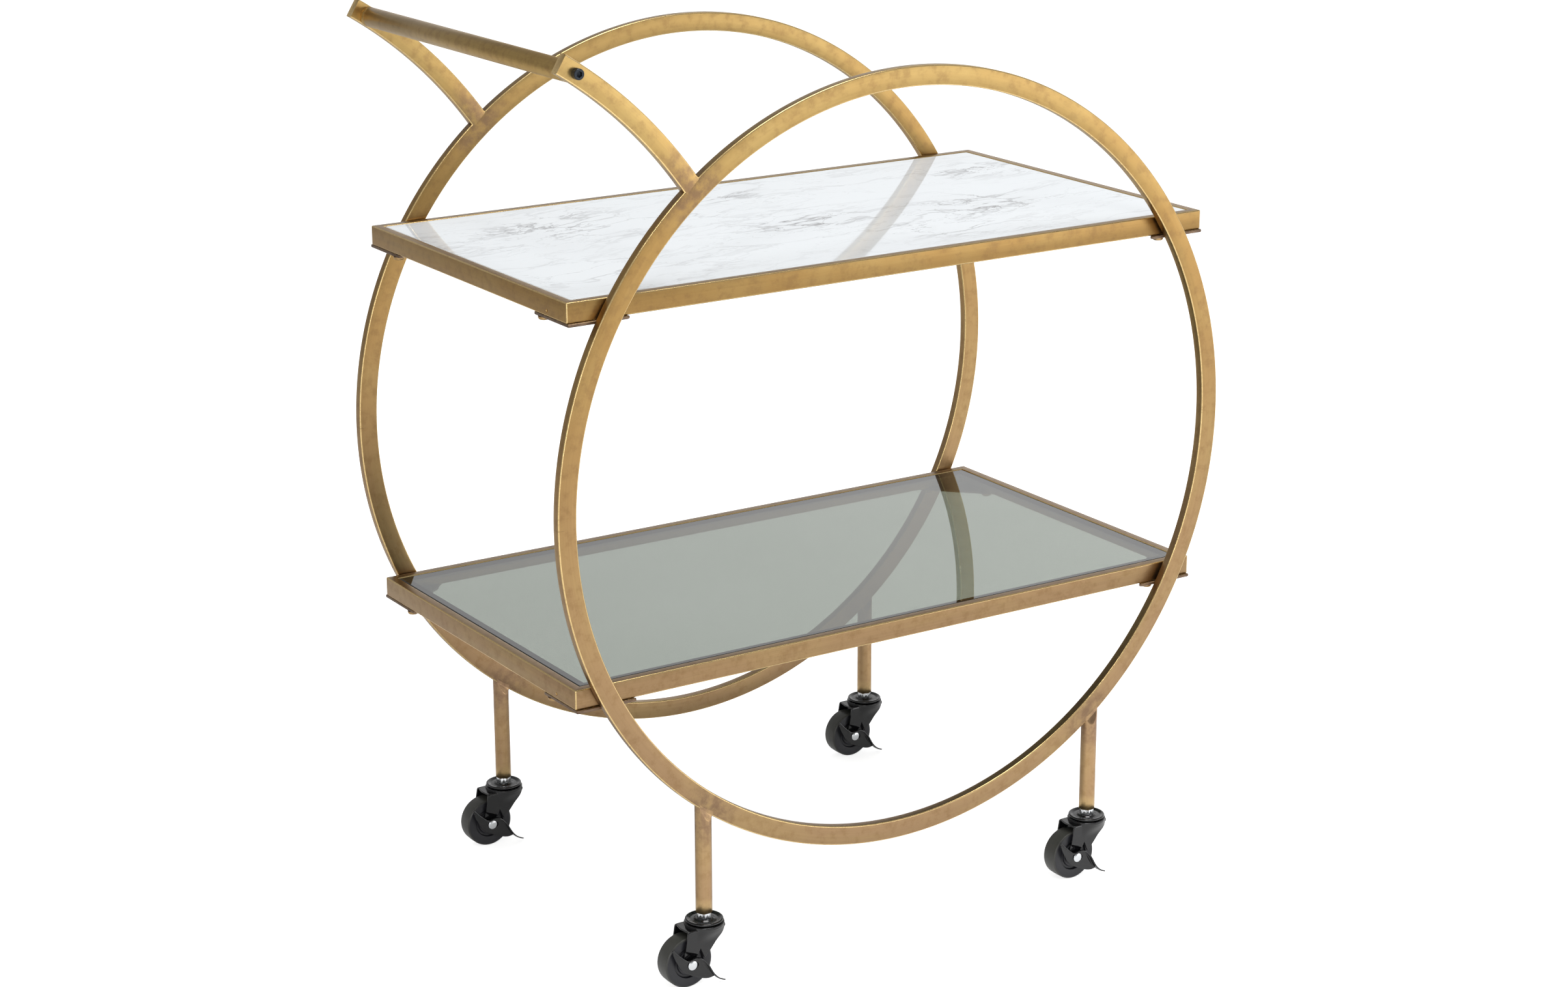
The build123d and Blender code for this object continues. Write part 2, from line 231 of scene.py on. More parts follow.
# The last of these colours brightens the plates' edges: wear and a painted highlight
PLATE, PLATE_DARK, PLATE_EDGE_WEAR_AND_HIGHLIGHT = (0.2, 0.135, 0.088), (0.12, 0.08, 0.06), (0.6, 0.43, 0.22)
LACQUER, LACQUER_DUSTY = (0.003, 0.003, 0.0036), (0.008, 0.008, 0.009)
RUBBER, RUBBER_DUSTY = (0.016, 0.016, 0.02), (0.046, 0.046, 0.04)
ZINC, OXIDE, SCREW_BRASS = (0.74, 0.76, 0.78), (0.03, 0.036, 0.045), (0.42, 0.27, 0.12)
MARBLE, MARBLE_CLOUD = (0.835, 0.88, 0.915), (0.73, 0.765, 0.795)
MARBLE_SMUDGE, MARBLE_VEIN = (0.44, 0.46, 0.48), (0.21, 0.21, 0.22)
GLASS, GLASS_HAZE = (0.142, 0.17, 0.136), (0.168, 0.194, 0.164)


def antique_brass(name, flow, welds=(), tone=1.0):
    """Antique brushed brass, made lighter or darker by its tone, which paints light and shade for each piece.

    flow is the brush's way along the piece, x, y or z, or the centre of a bend.
    """
    made, g = material(name)
    where = g.place()
    x, y, z = g.split(where)
    if isinstance(flow, Vector):
        off_x, off_z = x - flow.x, z - flow.z
        reach = (off_x * off_x + off_z * off_z) ** 0.5
        run_x, run_z = off_x / reach, off_z / reach

        def streaks(slow, fast, detail):
            run = g.vector(run_x * slow, run_z * slow, reach * fast)
            return g.noise(run, 1.0, detail, 0.6, w=y * fast)
    else:
        def streaks(slow, fast, detail):
            scale_x, scale_y, scale_z = (slow if way == flow else fast for way in "xyz")
            return g.noise(g.vector(x * scale_x, y * scale_y, z * scale_z), 1.0, detail, 0.6)

    brush, coarse = streaks(3.0, 420.0, 4.0), streaks(5.0, 90.0, 3.0)
    scratches = streaks(12.0, 1700.0, 3.0)
    patches = g.noise(where, 9.0, 3.0, 0.6)
    specks = g.noise(where, 105.0, 4.0, 0.65)
    fine_specks = g.noise(where, 420.0, 2.0, 0.5)
    colour = g.mix(z.step(0.2, 0.72), BRASS_ROSE, BRASS)
    # Random pale patches, and a painted highlight that makes the brass paler towards the top
    pale_patches_and_top_highlight = patches.step(0.42, 0.72) * 0.25 + z.step(0.66, 0.9) * 0.42
    colour = g.mix(pale_patches_and_top_highlight.clamp(), colour, BRASS_PALE)
    colour = g.mix(specks.step(0.44, 0.7) * 0.42, colour, BRASS_BROWN)
    colour = g.mix(coarse.step(0.45, 0.75) * 0.16, colour, BRASS_PALE)
    for spot, size in welds:
        heat = (1.0 - g.distance(where, spot).step(size * 0.25, size)) * specks.step(0.25, 0.62)
        colour = g.mix(heat * 0.6, colour, BRASS_PURPLE)
    arris = g.arris()
    # The arrises are brightened: partly rubbed wear, partly a painted highlight along the edges
    wear_and_highlight = (arris * fine_specks.step(0.3, 0.55) * 0.35 + arris * 0.65).clamp()
    # Upward faces are darkened here: painted shade on the tops of the brass
    up = g.split(g.node("ShaderNodeTexCoord").of("Normal"))[2].step(0.55, 0.98)
    colour = g.mix(up * (1.0 - wear_and_highlight) * BRASS_TOP_SHADE_AMOUNT, colour, BRASS_TOP_SHADE)
    colour = g.mix(wear_and_highlight * 0.95, colour, BRASS_ARRIS)
    # The tone makes the whole piece lighter or darker: painted light and shade
    colour = g.shade(colour, (brush * 0.28 + 0.86) * tone)
    rough = 0.25 + brush * 0.1 + specks * 0.1 - wear_and_highlight * 0.1
    relief = g.bump(0.35, scratches * 0.5 + brush * 0.6 + fine_specks * 0.1)
    return finished(made, g, Base_Color=colour, Metallic=1.0, Roughness=rough, Normal=relief)


def weld_spots():
    """Where heat has stained the brass: the roots of the handle arms and the tops of the legs."""
    spots = []
    for side in SIDES.values():
        spots.append((Vector((ARM_ROOT_X, side * HOOP_Y, ARM_ROOT_Z)), ARM_STAIN))
        for end in ENDS.values():
            spots.append((Vector((end * LEG_X, side * HOOP_Y, LEG_TOP_Z)), LEG_STAIN))
    return spots


# Shapes

def in_scene(name, data):
    """A new object in the scene."""
    made = bpy.data.objects.new(name, data)
    bpy.context.scene.collection.objects.link(made)
    return made


def worked_in(piece):
    """The piece's mesh with its modifiers worked in."""
    graph = bpy.context.evaluated_depsgraph_get()
    done = piece.evaluated_get(graph)
    return bpy.data.meshes.new_from_object(done, preserve_all_data_layers=True, depsgraph=graph)


def shape_tree(name, inputs):
    """An empty Geometry Nodes tree with named inputs. Returns its graph and the inputs' links."""
    tree = bpy.data.node_groups.new(name, "GeometryNodeTree")
    kinds = {float: "NodeSocketFloat", int: "NodeSocketInt", bpy.types.Material: "NodeSocketMaterial"}
    for key, kind in inputs.items():
        tree.interface.new_socket(key, in_out="INPUT", socket_type=kinds[kind])
    tree.interface.new_socket("Geometry", in_out="OUTPUT", socket_type="NodeSocketGeometry")
    g = Graph(tree)
    first = g.node("NodeGroupInput")
    return g, {key: first.of(key) for key in inputs}


def finish_tree(g, geometry, finish):
    """Every tree ends in real geometry with its material set."""
    real = g.node("GeometryNodeRealizeInstances", {}, {"Geometry": geometry})
    dressed = g.node("GeometryNodeSetMaterial", {}, {"Geometry": real, "Material": finish})
    g.node("NodeGroupOutput", {}, {"Geometry": dressed})


def grown(name, tree, values, matrix=Matrix()):
    """A plain mesh object from a Geometry Nodes tree with these input values."""
    holder = in_scene(name + "_form", bpy.data.meshes.new(name + "_form"))
    modifier = holder.modifiers.new("form", "NODES")
    modifier.node_group = tree
    ids = {i.name: i.identifier for i in tree.interface.items_tree if i.in_out == "INPUT"}
    for key, value in values.items():
        modifier[ids[key]] = value
    mesh = worked_in(holder)
    holder.modifiers.remove(modifier)
    bpy.data.objects.remove(holder)
    mesh.name = name
    mesh.transform(matrix)
    return in_scene(name, mesh)


def bent_tube_tree():
    """Rectangular tube with rounded arrises, bent on a flat arc in its own XY plane."""
    g, put = shape_tree(
        "bent_tube",
        {"Radius": float, "Depth": float, "Thickness": float, "Corner": float, "Start": float, "Sweep": float,
         "Segments": int, "Finish": bpy.types.Material})
    path = g.node(
        "GeometryNodeCurveArc", {"mode": "RADIUS"},
        {"Resolution": put["Segments"], "Radius": put["Radius"],
         "Start Angle": put["Start"], "Sweep Angle": put["Sweep"]})
    section = g.node(
        "GeometryNodeCurvePrimitiveQuadrilateral", {"mode": "RECTANGLE"},
        {"Width": put["Depth"], "Height": put["Thickness"]})
    section = g.node(
        "GeometryNodeFilletCurve", {"mode": "POLY"},
        {"Curve": section, "Count": 4, "Radius": put["Corner"], "Limit Radius": True})
    x, y, _ = g.split(g.node("GeometryNodeInputPosition"))
    near, high = (
        (abs(off) - put[size] / 2 + put["Corner"] * 0.75).math("GREATER_THAN", 0.0)
        for off, size in ((x, "Depth"), (y, "Thickness"))
    )
    # Marks the rounded arrises, which the brass brightens with wear and a painted highlight
    section = g.node(
        "GeometryNodeStoreNamedAttribute", {"data_type": "FLOAT", "domain": "POINT"},
        {"Geometry": section, "Name": "arris", "Value": near * high})
    tube = g.node("GeometryNodeCurveToMesh", {}, {"Curve": path, "Profile Curve": section, "Fill Caps": True})
    finish_tree(g, tube, put["Finish"])
    return g.tree


def closed(piece, angle=40.0):
    """Merges doubles, turns the faces outwards and smooths the piece, with creases kept over the angle."""
    mesh = piece.data
    form = bmesh.new()
    form.from_mesh(mesh)
    bmesh.ops.remove_doubles(form, verts=form.verts, dist=1e-6)
    bmesh.ops.dissolve_degenerate(form, edges=form.edges, dist=1e-7)
    bmesh.ops.recalc_face_normals(form, faces=form.faces)
    for face in form.faces:
        face.smooth = True
    for edge in form.edges:
        if len(edge.link_faces) == 2 and edge.calc_face_angle(0.0) > math.radians(angle):
            edge.smooth = False
    form.to_mesh(mesh)
    form.free()
    return piece


def kept(piece, body, slot, *replaced):
    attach(piece, body)
    if replaced:
        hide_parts(*replaced)
    return piece


def mark_arrises(mesh, marks):
    mesh.attributes.new("arris", "FLOAT", "POINT").data.foreach_set("value", marks)


def mesh_piece(name, points, faces, finish, arris=None):
    mesh = bpy.data.meshes.new(name)
    mesh.from_pydata(points, [], faces)
    mesh.materials.append(finish)
    if arris is not None:
        mark_arrises(mesh, arris)
    return in_scene(name, mesh)


def lofted(name, sections, finish, arris=None):
    """A capped skin over closed sections with the same number of points each."""
    count = len(sections[0])
    points = [p for section in sections for p in section]
    faces = []
    for i in range(len(sections) - 1):
        for j in range(count):
            a, b = i * count + j, i * count + (j + 1) % count
            faces.append((a, b, b + count, a + count))
    faces.append(tuple(reversed(range(count))))
    faces.append(tuple(range(len(points) - count, len(points))))
    return mesh_piece(name, points, faces, finish, arris)


def rounded_section(width, height, radius, steps=4):
    """A rectangle with rounded corners from (0, 0) to (width, height), and a mark for each point.

    A mark is 1 within a corner, and 0 where the corner meets a flat side.
    """
    points, marks = [], []
    right, high = width - radius, height - radius
    for cx, cy, start in ((right, radius, -90), (right, high, 0), (radius, high, 90), (radius, radius, 180)):
        for i in range(steps + 1):
            a = math.radians(start + 90 * i / steps)
            points.append((cx + radius * math.cos(a), cy + radius * math.sin(a)))
            marks.append(1.0 if 0 < i < steps else 0.0)
    return points, marks


def applied(piece, *modifiers):
    """The piece with these modifiers, each (type, settings), worked in."""
    for kind, settings in modifiers:
        modifier = piece.modifiers.new(kind.lower(), kind)
        for key, value in settings.items():
            setattr(modifier, key, value)
    mesh = worked_in(piece)
    piece.modifiers.clear()
    piece.data = mesh
    return piece


bent_tube = bent_tube_tree()
# The tones paint light and shade on each piece: long rails darkest, hoops and short rails darker, legs
# lighter
hoop_brass = antique_brass("hoop_brass", HOOP_CENTRE, weld_spots(), tone=0.85)
arm_brass = antique_brass("arm_brass", ARC_CENTRE, weld_spots())
long_brass = antique_brass("long_rail_brass", "x", tone=0.74)
short_brass = antique_brass("short_rail_brass", "y", tone=0.86)
bar_brass = antique_brass("bar_brass", "y")
leg_brass = antique_brass("leg_brass", "z", weld_spots(), tone=1.06)
rails_brass = {"front": long_brass, "rear": long_brass, "left": short_brass, "right": short_brass}


def sink_root(arm, middle):
    """The weld ground flush: the arm runs a little over the hoop's face and then dips under it."""
    for vertex in arm.data.vertices:
        depth = HOOP_RADIUS - math.hypot(vertex.co.x - HOOP_CENTRE.x, vertex.co.z - HOOP_CENTRE.z)
        thicker = ROOT_PROUD if depth < ROOT_OVERLAP else ROOT_SUNK
        vertex.co.y = middle + (vertex.co.y - middle) * thicker


for side in SIDES:
    middle = SIDES[side] * HOOP_Y
    for name, centre, radius, start, sweep, finish, segments in (
        (f"{side}_hoop", HOOP_CENTRE, HOOP_RADIUS - TUBE_DEPTH / 2,
         math.pi, math.tau, hoop_brass, HOOP_SEGMENTS),
        (f"{side}_handle_arm", ARC_CENTRE, ARC_RADIUS,
         ARC_START, ARC_END - ARC_START, arm_brass, ARM_SEGMENTS),
    ):
        values = {
            "Radius": radius, "Depth": TUBE_DEPTH, "Thickness": TUBE_THICKNESS, "Corner": ARRIS,
            "Start": start, "Sweep": sweep, "Segments": segments, "Finish": finish,
        }
        upright = Matrix.Translation(centre + Vector((0, middle, 0))) @ SIDEWAYS
        piece = grown(name + "_tube", bent_tube, values, upright)
        if finish is arm_brass:
            sink_root(piece, middle)
        kept(closed(piece), "cart", "antique_brass", name)


def drill_drain(tube, top):
    """The drain hole of the plating bath, with its edge broken, in the outer face of a left rail."""
    y, z = DRAIN_FROM_CORNER - TRAY_HALF_WIDTH, top - TUBE_DEPTH + DRAIN_ABOVE_BOTTOM
    rings, turns = [], [math.tau * i / 24 for i in range(24)]
    for radius, depth in ((1.9, -0.4), (1.3, 0.35), (1.3, 3.0)):
        x = -TRAY_HALF_LENGTH + depth * MM
        rings.append([(x, y + radius * MM * math.cos(a), z + radius * MM * math.sin(a)) for a in turns])
    drill = closed(lofted("drill", rings, short_brass))
    applied(tube, ("BOOLEAN", {"operation": "DIFFERENCE", "object": drill, "solver": "EXACT"}))
    bpy.data.objects.remove(drill)
    closed(tube)


def rail(tray, way):
    """One tray rail with rounded arrises, mitred at both ends and rounded down the outer corners."""
    top = TRAY_TOPS[tray]
    run_x, run_y = {"front": (1, 0), "right": (0, 1), "rear": (-1, 0), "left": (0, -1)}[way]
    half, span = TRAY_HALF_LENGTH, TRAY_HALF_WIDTH
    if way in ENDS:
        half, span = span, half
    profile, marks = rounded_section(TUBE_THICKNESS, TUBE_DEPTH, ARRIS)
    sections, arris = [], []
    for hand, turns in ((-1, (45, 22.5, 0)), (1, (0, 22.5, 45))):
        for turn in turns:
            t, ring = math.radians(turn), []
            for u, v in profile:
                lead = ARRIS - (ARRIS - u) * math.sin(t) if u < ARRIS else u
                inset = ARRIS - (ARRIS - u) * math.cos(t) if u < ARRIS else u
                s, d = hand * (half - lead), inset - span
                ring.append((run_x * s - run_y * d, run_y * s + run_x * d, top - TUBE_DEPTH + v))
            sections.append(ring)
            # The mitred outer corner is marked as an arris too: a painted highlight line down the corner,
            # with wear
            mitred = [turn > 0 and u < ARRIS * 0.8 for u, v in profile]
            arris += [1.0 if edge else mark for edge, mark in zip(mitred, marks)]
    name = f"{tray}_{way}_rail"
    tube = closed(lofted(name + "_tube", sections, rails_brass[way], arris))
    if way == "left":
        drill_drain(tube, top)
    kept(tube, "cart", "antique_brass", name)


for tray in TRAY_TOPS:
    for way in rails_brass:
        rail(tray, way)


def plate_finish():
    """Dark bronze plating with its edges brightened by wear and a painted highlight."""
    made, g = material("plate_bronze")
    specks, fine = g.noise(g.place(), 70.0, 4.0, 0.65), g.noise(g.place(), 500.0, 2.0, 0.5)
    colour = g.mix(specks.step(0.4, 0.7), PLATE, PLATE_DARK)
    # The edges are brightened: wear and a painted highlight
    colour = g.mix(g.arris() * fine.step(0.35, 0.6) * 0.6, colour, PLATE_EDGE_WEAR_AND_HIGHLIGHT)
    rough = 0.34 + specks * 0.14
    return finished(made, g, Base_Color=colour, Metallic=1.0, Roughness=rough, Normal=g.bump(0.15, fine))


def plain_finish(name, colour, metallic, roughness):
    """Plain metal, a little uneven in tone and gloss."""
    made, g = material(name)
    spread, fine = g.noise(g.place(), 60.0, 3.0, 0.6), g.noise(g.place(), 480.0, 2.0, 0.5)
    tone, rough = g.shade(colour, spread * 0.3 + 0.85), roughness + spread * 0.08
    return finished(made, g, Base_Color=tone, Metallic=metallic, Roughness=rough, Normal=g.bump(0.1, fine))


def dress(finish, *names):
    for name in names:
        mesh = nodes[name].data
        mesh.materials.clear()
        mesh.materials.append(finish)


def black_lacquer():
    """Gloss black paint, which rounds the edges of the sheet and has a little dust on it."""
    made, g = material("black_lacquer")
    orange_peel, dust = g.noise(g.place(), 260.0, 2.0, 0.5), g.noise(g.place(), 900.0, 2.0, 0.6)
    soft_edge = g.node("ShaderNodeBevel", {"samples": 4}, {"Radius": 0.0007})
    return finished(
        made, g, Base_Color=g.mix(dust, LACQUER, LACQUER_DUSTY), Roughness=0.09 + dust * 0.06, IOR=1.55,
        Normal=g.bump(0.1, orange_peel, 0.0003, Normal=soft_edge))


def wheel_rubber():
    """Dark blue grey sides, with a dusty olive grey on the tread."""
    made, g = material("grey_rubber")
    dust, fine = g.noise(g.place(), 60.0, 4.0, 0.6), g.noise(g.place(), 700.0, 2.0, 0.5)
    colour = g.shade(g.mix(g.arris(), RUBBER, RUBBER_DUSTY), dust * 0.5 + 0.75)
    return finished(
        made, g, Base_Color=colour, Roughness=0.3 + dust * 0.14, Normal=g.bump(0.15, fine + dust))


# Where the marble is veined, as a middle and a reach, on a panel stretched across to make them round
VEIN_STRETCH = 1.5
VEINED = [
    (Vector((x, y * VEIN_STRETCH, 0.0)), size) for x, y, size in (
        (-0.29, -0.09, 0.075), (-0.2, 0.1, 0.085), (0.0, 0.13, 0.05), (0.01, -0.01, 0.08),
        (0.1, -0.12, 0.06), (0.2, -0.05, 0.09), (0.3, 0.1, 0.06), (-0.08, 0.06, 0.05))
]


def marble_glass():
    """White marble with thin grey veins, printed under clear glass."""
    made, g = material("marble_glass")
    where = g.place()
    x, y, _ = g.split(where)
    warp = g.noise(where, 5.0, 4.0, 0.62)
    drift = g.noise(where, 2.6, 3.0, 0.55)
    flow = g.vector(x * 1.8 + warp * 0.36 + y * 0.9, y * 5.4 - x * 0.5 + drift * 0.9, 0.0)
    ridge = abs(g.noise(flow, 2.2, 6.0, 0.62) - 0.5)
    fine_flow = g.vector(x * 4.0 + warp * 0.8, y * 9.0 + drift * 1.6, 1.7)
    fine_ridge = abs(g.noise(fine_flow, 2.4, 5.0, 0.65) - 0.5)
    near, stretched = 0.0, g.vector(x, y * VEIN_STRETCH, 0.0)
    for spot, size in VEINED:
        near = near + (1.0 - g.distance(stretched, spot).step(size * 0.2, size * 1.3))
    broad = g.noise(g.vector(x * 2.0, y * 5.0, 0.0), 1.6, 3.0, 0.55).step(0.4, 0.62)
    where_veined = ((near * 0.7 + 0.3) * (broad * 0.6 + 0.4)).clamp()
    vein = (1.0 - ridge.step(0.0, 0.022)) * where_veined
    fine_vein = (1.0 - fine_ridge.step(0.0, 0.012)) * where_veined * 0.45
    cloud = g.noise(g.vector(x * 3.0, y * 8.0, 0.0), 1.6, 5.0, 0.6).step(0.5, 0.8)
    smudge = (1.0 - ridge.step(0.0, 0.1)) * g.noise(where, 14.0, 4.0, 0.65).step(0.5, 0.68) * where_veined
    colour = g.mix(cloud * 0.3, MARBLE, MARBLE_CLOUD)
    colour = g.mix(smudge * 0.4, colour, MARBLE_SMUDGE)
    colour = g.mix((vein * 0.8 + fine_vein * 1.5).clamp(), colour, MARBLE_VEIN)
    return finished(made, g, Base_Color=colour, Roughness=0.04 + cloud * 0.01, IOR=1.42)


def smoked_glass():
    """Grey green tinted float glass, seen through only a little and reflecting strongly."""
    made, g = material("smoked_glass")
    haze = g.noise(g.place(), 5.0, 3.0, 0.55)
    return finished(
        made, g, Base_Color=g.mix(haze, GLASS, GLASS_HAZE), Roughness=haze * 0.004, IOR=1.52,
        Transmission_Weight=1.0, Coat_Weight=0.4, Coat_Roughness=0.0)


plate_bronze = plate_finish()
lacquer = black_lacquer()
rubber = wheel_rubber()
zinc = plain_finish("zinc_steel", ZINC, 1.0, 0.2)
oxide = plain_finish("black_oxide", OXIDE, 0.8, 0.3)
screw_brass = plain_finish("screw_brass", SCREW_BRASS, 1.0, 0.3)
dress(plate_bronze, "upper_ledge_strips", "lower_ledge_strips")
dress(marble_glass(), "marble_panel")
dress(smoked_glass(), "smoked_glass_panel")


# Turned and pressed pieces

def rounded(corners, steps=4):
    """A closed outline from corners (x, y, radius), each rounded off by its radius."""
    out = []
    for i, (x, y, radius) in enumerate(corners):
        here = Vector((x, y))
        if not radius:
            out.append((x, y))
            continue
        before = Vector(corners[i - 1][:2]) - here
        after = Vector(corners[(i + 1) % len(corners)][:2]) - here
        half = before.angle(after) / 2
        cut = min(radius / math.tan(half), before.length * 0.48, after.length * 0.48)
        before.normalize()
        after.normalize()
        centre = here + (before + after).normalized() * (cut / math.cos(half))
        spoke = here + before * cut - centre
        turn = spoke.angle_signed(here + after * cut - centre)
        for k in range(steps + 1):
            a = -turn * k / steps
            c, s = math.cos(a), math.sin(a)
            out.append((centre.x + spoke.x * c - spoke.y * s, centre.y + spoke.x * s + spoke.y * c))
    return out


def turned(name, outline, finish, place=Matrix(), segments=96, crease=40.0):
    """A solid of revolution about its own Z, from a closed outline of (radius, height) in mm."""
    points, faces, count = [], [], len(outline)
    for i in range(segments):
        c, s = math.cos(math.tau * i / segments), math.sin(math.tau * i / segments)
        points += [(r * c * MM, r * s * MM, h * MM) for r, h in outline]
        after = (i + 1) % segments
        for j in range(count):
            k = (j + 1) % count
            faces.append((i * count + j, after * count + j, after * count + k, i * count + k))
    piece = mesh_piece(name, points, faces, finish)
    piece.data.transform(place)
    return closed(piece, crease)


def joined(name, *pieces):
    """Several meshes as one piece, in the first one's material."""
    form = bmesh.new()
    for piece in pieces:
        form.from_mesh(piece.data)
    mesh = bpy.data.meshes.new(name)
    form.to_mesh(mesh)
    form.free()
    mesh.materials.append(pieces[0].data.materials[0])
    for piece in pieces:
        bpy.data.objects.remove(piece)
    return in_scene(name, mesh)


# Caster sizes, in millimetres. X is taken from the swivel axis and the wheel trails to negative X
WHEEL_RADIUS, WHEEL_TRAIL = 25.5, 22.5
FORK_TOP, RACE_TOP, RACE_RADIUS = 58.5, 60.5, 19.4
PANEL_Y, LUG_Y, SHEET, FOLD = 12.8, 11.4, 1.5, 1.7
LEVER_Y, LEVER_SHEET, LEVER_BEND, LEVER_MARGIN = 13.6, 1.2, 1.7, 0.3
LEVER_REACH = (-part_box("front_left_brake_lever")[0][1] - HOOP_Y) / MM - LEVER_Y - LEVER_MARGIN
NUT_FLAT, STEM_RADIUS, TREAD_FROM = 6.5, 4.0, 23.4
AXLE = Matrix.Translation((-WHEEL_TRAIL * MM, 0, WHEEL_RADIUS * MM)) @ SIDEWAYS


def smooth(low, high, value):
    t = min(1.0, max(0.0, (value - low) / (high - low)))
    return t * t * (3 - 2 * t)


def along(table, value):
    """The value between the rows of a table of (place, value)."""
    for (a, p), (b, q) in zip(table, table[1:]):
        if value <= b:
            return p + (q - p) * max(0.0, value - a) / (b - a)
    return table[-1][1]


def through(points, steps):
    """A smooth run of points through the given ones."""
    out, last = [], len(points) - 1
    for i in range(last):
        a, b, c, d = points[max(i - 1, 0)], points[i], points[i + 1], points[min(i + 2, last)]
        for k in range(steps):
            t = k / steps
            out.append(tuple(
                0.5 * (2 * q + (r - p) * t + (2 * p - 5 * q + 4 * r - w) * t**2
                       + (3 * q - p - 3 * r + w) * t**3)
                for p, q, r, w in zip(a, b, c, d)
            ))
    return out + [points[-1]]


def faced(piece, outward):
    """Turns an open sheet's faces to the side that outward, a vector, points to."""
    form = bmesh.new()
    form.from_mesh(piece.data)
    bmesh.ops.recalc_face_normals(form, faces=form.faces)
    if sum(f.normal.dot(outward) * f.calc_area() for f in form.faces) < 0:
        bmesh.ops.reverse_faces(form, faces=form.faces)
    form.to_mesh(piece.data)
    form.free()
    return piece


def fork_panel(hand):
    """One side of the fork: folded down from the top, flared out to the race and drawn in at the lug."""
    left = [(18.5, -27.5), (28.3, -29.8), (39.0, -28.4), (58.5, -25.2), (70.0, -25.2)]
    right = [
        (18.5, -17.5), (28.3, -7.4), (35.6, -0.7), (45.0, 6.9), (50.8, 11.5), (56.7, 15.6), (70.0, 15.6)]
    apex_x, apex_z = -12.0, 39.5
    notch_left = [(18.5, -17.5), (24.0, -16.0), (32.7, -15.2), (apex_z, apex_x)]
    notch_right = [(28.3, -7.4), (apex_z, apex_x)]
    panel_top = 59.4
    columns, split, nose_foot = 40, 14, 28.0
    heights = [panel_top - 0.75 * i for i in range(26)] + [apex_z - 1.2 * i for i in range(19)]

    def outer(x, z):
        reach = math.sqrt(max(0.0, RACE_RADIUS**2 - x * x))
        flare = max(0.0, reach - PANEL_Y) * smooth(42.0, 60.0, z) ** 1.1
        crease = 40.0 - 0.55 * (x + 28.4)
        drawn = (PANEL_Y - LUG_Y) * (1 - smooth(crease - 1.6, crease + 0.4, z)) if x < apex_x else 0.0
        return PANEL_Y + flare - drawn

    rows = [(panel_top, math.radians(a)) for a in (90, 67, 45, 22)] + [(z, 0.0) for z in heights[1:]]
    points, index, faces = [], {}, []
    for r, (z, bend) in enumerate(rows):
        lower = z < apex_z - 0.01
        for c in range(columns + 1):
            for part in (0, 1):
                if (part == 0 and c > split) or (part == 1 and (c < split or (lower and z < nose_foot))):
                    continue
                if lower:
                    edges = (left, notch_left) if part == 0 else (notch_right, right)
                    ends = [along(edge, z) for edge in edges]
                else:
                    low, mid, high = along(left, z), apex_x + (z - apex_z) * 0.12, along(right, z)
                    ends = (low, mid) if part == 0 else (mid, high)
                share = c / split if part == 0 else (c - split) / (columns - split)
                x = ends[0] + (ends[1] - ends[0]) * share
                top = FORK_TOP + (panel_top - FORK_TOP) * smooth(-14.6, -12.8, x)
                height = min(z, top - FOLD - (panel_top - z) * 0.02) if z > top - FOLD else z
                if bend:
                    height = top - FOLD + FOLD * math.sin(bend)
                y = outer(x, height) - FOLD + FOLD * math.cos(bend)
                key = (r, c, part if lower else 0)
                if key not in index:
                    index[key] = len(points)
                    points.append((x * MM, hand * y * MM, height * MM))
    for r in range(len(rows) - 1):
        for c in range(columns):
            part = 0 if c < split else 1
            upper, under = (part if rows[i][0] < apex_z - 0.01 else 0 for i in (r, r + 1))
            keys = [(r, c, upper), (r, c + 1, upper), (r + 1, c + 1, under), (r + 1, c, under)]
            if all(k in index for k in keys):
                faces.append(tuple(index[k] for k in keys))
    piece = faced(closed(mesh_piece("fork_panel", points, faces, lacquer), 60), Vector((0, hand, 0)))
    rim = {"width": 0.3 * MM, "segments": 2, "angle_limit": math.radians(50)}
    return applied(piece, ("SOLIDIFY", {"thickness": SHEET * MM, "offset": -1.0}), ("BEVEL", rim))


def make_fork():
    ring = turned("ring", rounded([
        (4.1, 57.0, 0), (18.6, 57.0, 0.4), (RACE_RADIUS, 58.2, 0.5), (RACE_RADIUS, RACE_TOP, 0.8),
        (17.8, RACE_TOP, 0.5), (17.2, 59.7, 0.5), (4.1, 59.7, 0)]), lacquer)
    deck = rounded([
        (-24.6, -12.4, 2.0), (-26.4, 0.0, 20.0), (-24.6, 12.4, 2.0), (-4.0, 12.4, 0), (-4.0, -12.4, 0)], 8)
    low, high = (FORK_TOP - SHEET) * MM, FORK_TOP * MM
    deck = lofted("deck", [[(x * MM, y * MM, z) for x, y in deck] for z in (low, high)], lacquer)
    applied(closed(deck), ("BEVEL", {"width": 0.3 * MM, "segments": 2}))
    return joined("fork", ring, deck, fork_panel(-1), fork_panel(1))


def make_wheel():
    """The wheel, with the mark of an arris on its dusty tread."""
    side = [
        (3.1, 8.4, 0), (12.0, 8.6, 0.6), (12.6, 6.6, 0.5), (15.0, 6.6, 0.5), (15.6, 8.9, 0.6),
        (23.6, 9.0, 1.0), (25.2, 8.1, 0.9)]
    outline = rounded([(r, -h, f) for r, h, f in side] + [(WHEEL_RADIUS, 0.0, 30.0)] + list(reversed(side)))
    wheel = turned("wheel", outline, rubber, AXLE, 128, 60)
    from_axle = AXLE.inverted()
    reaches = [(from_axle @ vertex.co).to_2d().length / MM for vertex in wheel.data.vertices]
    mark_arrises(wheel.data, [min(1.0, max(0.0, reach - TREAD_FROM)) for reach in reaches])
    return wheel


